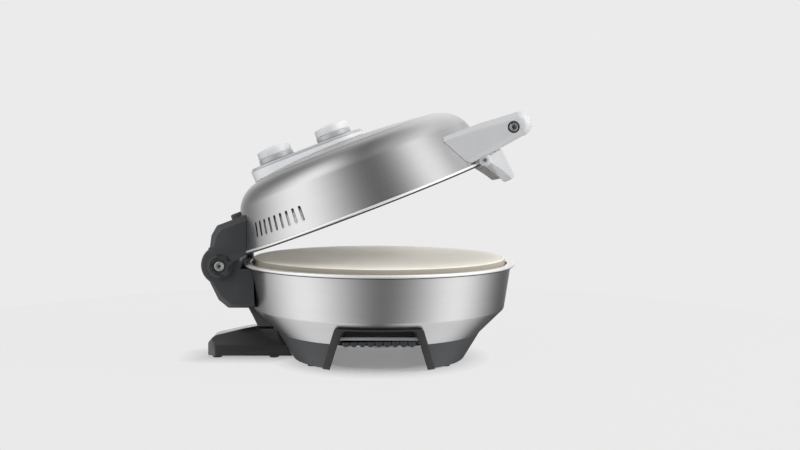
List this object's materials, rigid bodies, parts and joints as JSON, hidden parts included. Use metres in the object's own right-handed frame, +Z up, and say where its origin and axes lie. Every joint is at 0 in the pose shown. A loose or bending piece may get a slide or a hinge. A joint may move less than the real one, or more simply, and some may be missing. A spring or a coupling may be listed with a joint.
{
  "type": "electric pizza maker",
  "caption": "Round countertop pizza maker: steel base with a baking stone, and a domed lid on a rear hinge with knobs on top and a front handle.",
  "frame": {"origin": "on the table, on the upright axis of the round base", "axes": "+Z up, +X from the rear hinge to the front handle, +Y to the left of someone facing the handle's way"},
  "size_m": [0.4068, 0.356, 0.321],
  "materials": {
    "brushed_steel": "brushed round the body",
    "polished_steel": "polished",
    "seal_black": "matt",
    "pan_steel": "satin sheet",
    "heater_tube": "heat-darkened",
    "zinc_bracket": "plain zinc",
    "dark_plastic": "fine-grained",
    "foot_gloss": "gloss top",
    "grip_plastic": "ribbed",
    "screw_steel": "bright",
    "shaft_steel": "ground",
    "ceramic_body": "unglazed",
    "brass_part": "plain",
    "stone": "fired, fine pores",
    "pale_plastic": "satin gloss",
    "silver_plastic": "silver lacquer",
    "skirt_plastic": "translucent grey",
    "grip_metal": "satin tube",
    "lamp_lens": "clear red"
  },
  "bodies": {
    "base": {"base_shell": "brushed_steel", "base_rim": "polished_steel", "rim_trim": "seal_black", "inner_pan": "pan_steel", "lower_element": "heater_tube", "lower_element_brackets": "zinc_bracket", "pan_standoffs": "zinc_bracket", "heat_shield": "pan_steel", "thermal_cutout": "ceramic_body", "plinth": "dark_plastic", "carry_grip_near": "grip_plastic", "carry_grip_far": "grip_plastic", "foot_pads": "seal_black", "bottom_cover": "pan_steel", "cover_screws": "screw_steel", "terminal_block": "ceramic_body", "cord_gland": "seal_black", "rear_foot": "foot_gloss", "rear_foot_pads": "seal_black", "rear_spine": "dark_plastic", "hinge_base": "dark_plastic", "hinge_base_screws": "screw_steel", "hinge_shaft": "shaft_steel", "hinge_springs": "shaft_steel", "hinge_caps": "dark_plastic", "hinge_cap_screws": "screw_steel"},
    "stone": {"pizza_stone": "stone"},
    "lid": {"lid_shell": "brushed_steel", "lid_rim": "polished_steel", "lid_seal": "seal_black", "lid_liner": "pan_steel", "upper_element": "heater_tube", "upper_element_clips": "zinc_bracket", "hinge_lid": "dark_plastic", "hinge_lid_screws": "screw_steel", "hinge_bushes": "brass_part", "console_base": "pale_plastic", "console_fascia": "silver_plastic", "console_screws": "screw_steel", "indicator_lamps": "lamp_lens", "thermostat": "ceramic_body", "timer_unit": "brass_part", "handle_arm_near": "silver_plastic", "handle_arm_far": "silver_plastic", "handle_arm_screws": "screw_steel", "handle_grip": "grip_metal", "handle_rod": "shaft_steel", "grip_screws": "screw_steel", "latch_pins": "shaft_steel", "latch_springs": "shaft_steel"},
    "latch_flap": {"latch": "silver_plastic"},
    "temperature_dial": {"temperature_knob": "pale_plastic", "temperature_skirt": "skirt_plastic", "temperature_spindle": "shaft_steel"},
    "timer_dial": {"timer_knob": "pale_plastic", "timer_skirt": "skirt_plastic", "timer_spindle": "shaft_steel"}
  },
  "joints": [
    {"name": "lid_hinge", "type": "hinge", "parent": "base", "child": "lid", "pos_m": [-0.198, 0, 0.1265], "axis": [0, -1, 0], "range_deg": [-21.3, 58.7]},
    {"name": "latch_pivot", "type": "hinge", "parent": "lid", "child": "latch_flap", "pos_m": [0.12692, 0, 0.2594], "axis": [0, -1, 0], "range_deg": [0, 10], "stiffness_Nm_per_rad": 0.6, "springref_deg": -20.05},
    {"name": "temperature_turn", "type": "hinge", "parent": "lid", "child": "temperature_dial", "pos_m": [-0.13352, 0, 0.25843], "axis": [-0.3633, 0, 0.9317], "range_deg": [-270, 0]},
    {"name": "timer_turn", "type": "hinge", "parent": "lid", "child": "timer_dial", "pos_m": [-0.05899, 0, 0.2875], "axis": [-0.3633, 0, 0.9317], "range_deg": [-300, 0]},
    {"name": "stone_lift", "type": "slide", "parent": "base", "child": "stone", "axis": [0, 0, 1], "range_m": [0, 0.008]}
  ]
}
